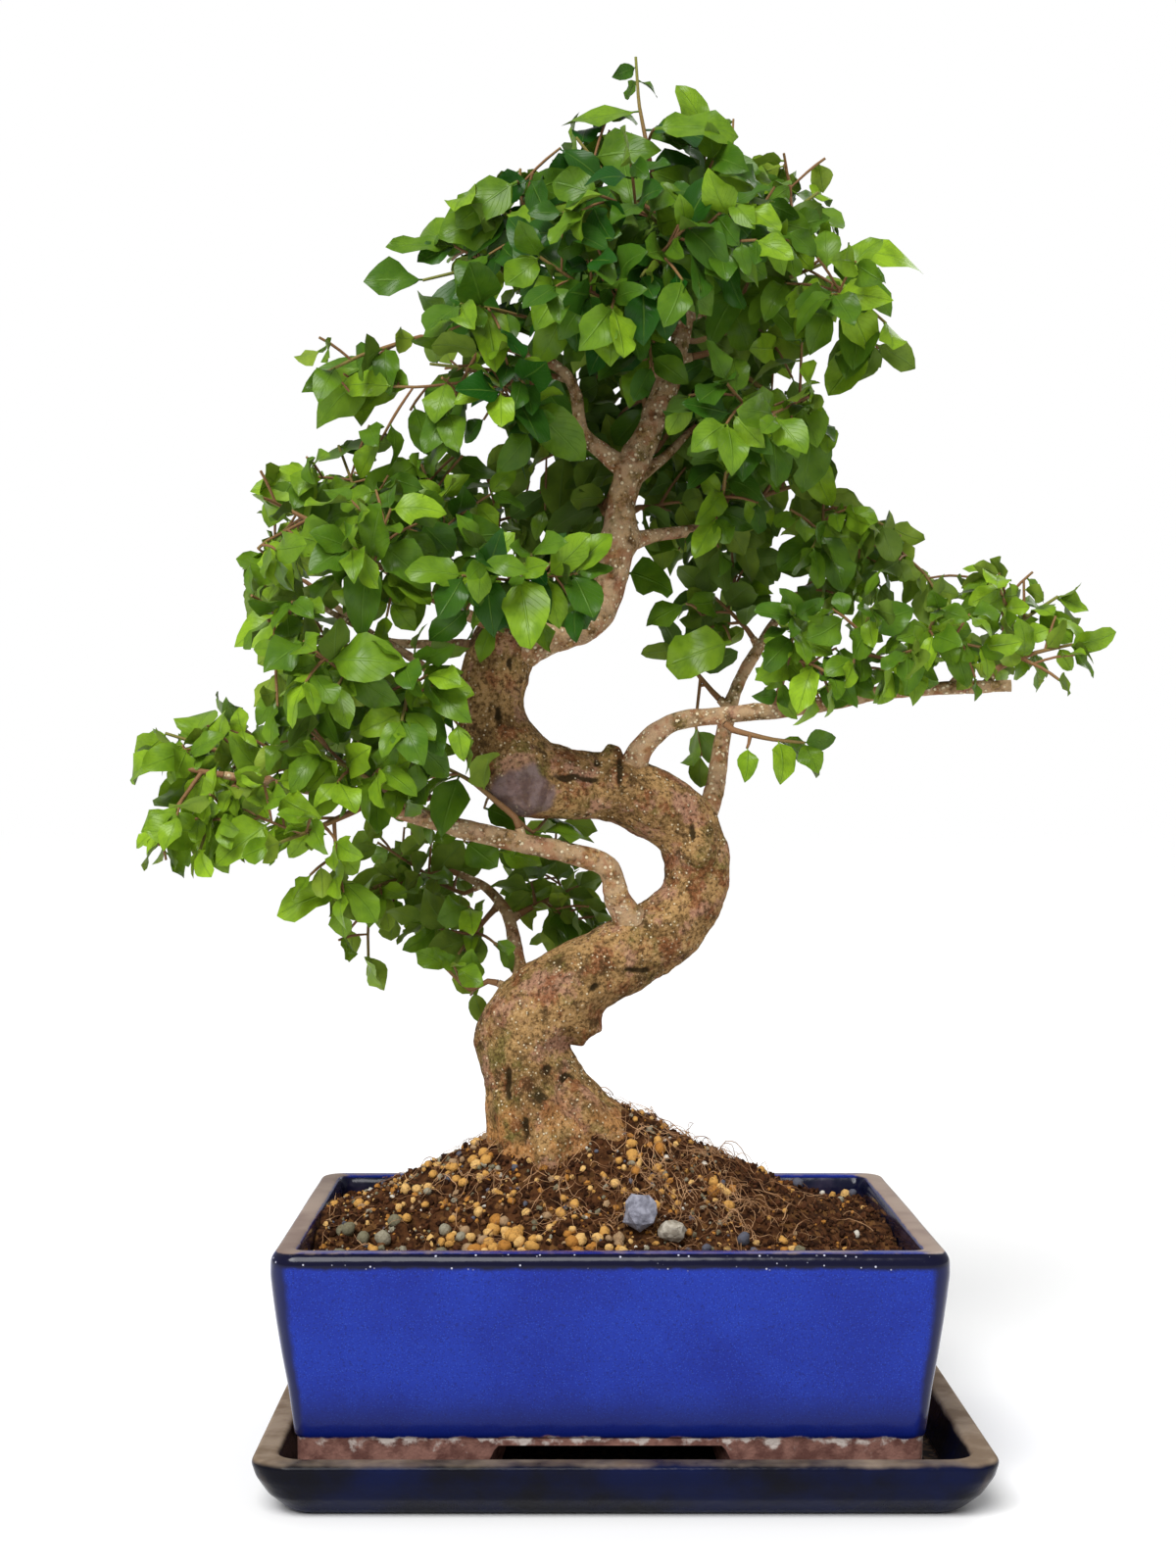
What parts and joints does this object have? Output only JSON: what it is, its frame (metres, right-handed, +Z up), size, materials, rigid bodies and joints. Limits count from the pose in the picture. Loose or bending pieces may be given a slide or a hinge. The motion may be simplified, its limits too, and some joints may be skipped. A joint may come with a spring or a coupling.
{
  "type": "chinese privet bonsai",
  "caption": "S-curved indoor bonsai tree with oval green leaves in a blue glazed rectangular pot of gritty soil, standing on a dark glazed drip tray.",
  "frame": {"origin": "the point of the drip tray's flat underside that lies below the pot's centre", "axes": "+Z up, +X to the viewer's right along the pot's long side, +Y away from the viewer"},
  "size_m": [0.4068, 0.21, 0.5711],
  "materials": {
    "bark": "matte",
    "leaf": "satin",
    "soil": "matte",
    "stone_grey": "matte",
    "stone_pale": "matte",
    "pot_glaze": "gloss",
    "tray_glaze": "gloss"
  },
  "bodies": {
    "root": {"drip_tray": "tray_glaze", "pot": "pot_glaze", "shoot_crown_left_1": "leaf", "shoot_crown_left_2": "leaf", "shoot_crown_left_3": "leaf", "shoot_crown_left_4": "leaf", "shoot_leader_1": "leaf", "shoot_leader_10": "leaf", "shoot_leader_11": "leaf", "shoot_leader_12": "leaf", "shoot_leader_13": "leaf", "shoot_leader_2": "leaf", "shoot_leader_3": "leaf", "shoot_leader_4": "leaf", "shoot_leader_5": "leaf", "shoot_leader_6": "leaf", "shoot_leader_7": "leaf", "shoot_leader_8": "leaf", "shoot_leader_9": "leaf", "shoot_left_back_1": "leaf", "shoot_left_back_2": "leaf", "shoot_left_back_3": "leaf", "shoot_left_back_4": "leaf", "shoot_left_low_1": "leaf", "shoot_left_low_2": "leaf", "shoot_left_low_3": "leaf", "shoot_left_low_4": "leaf", "shoot_left_low_5": "leaf", "shoot_left_low_6": "leaf", "shoot_left_low_7": "leaf", "shoot_left_mid_1": "leaf", "shoot_left_mid_2": "leaf", "shoot_left_mid_high_1": "leaf", "shoot_left_mid_high_2": "leaf", "shoot_left_mid_high_3": "leaf", "shoot_left_mid_high_4": "leaf", "shoot_left_mid_low_1": "leaf", "shoot_left_mid_low_2": "leaf", "shoot_left_mid_low_3": "leaf", "shoot_right_back_1": "leaf", "shoot_right_back_2": "leaf", "shoot_right_back_3": "leaf", "shoot_right_low_1": "leaf", "shoot_right_low_2": "leaf", "shoot_right_low_3": "leaf", "shoot_right_low_4": "leaf", "shoot_right_low_5": "leaf", "shoot_right_low_6": "leaf", "shoot_right_mid_1": "leaf", "shoot_right_mid_2": "leaf", "shoot_right_stub_1": "leaf", "shoot_stump_back_1": "leaf", "shoot_stump_back_2": "leaf", "shoot_trunk_1": "leaf", "shoot_trunk_2": "leaf", "soil": "soil", "stone_grey": "stone_grey", "stone_pale": "stone_pale", "trunk": "bark"}
  },
  "joints": []
}
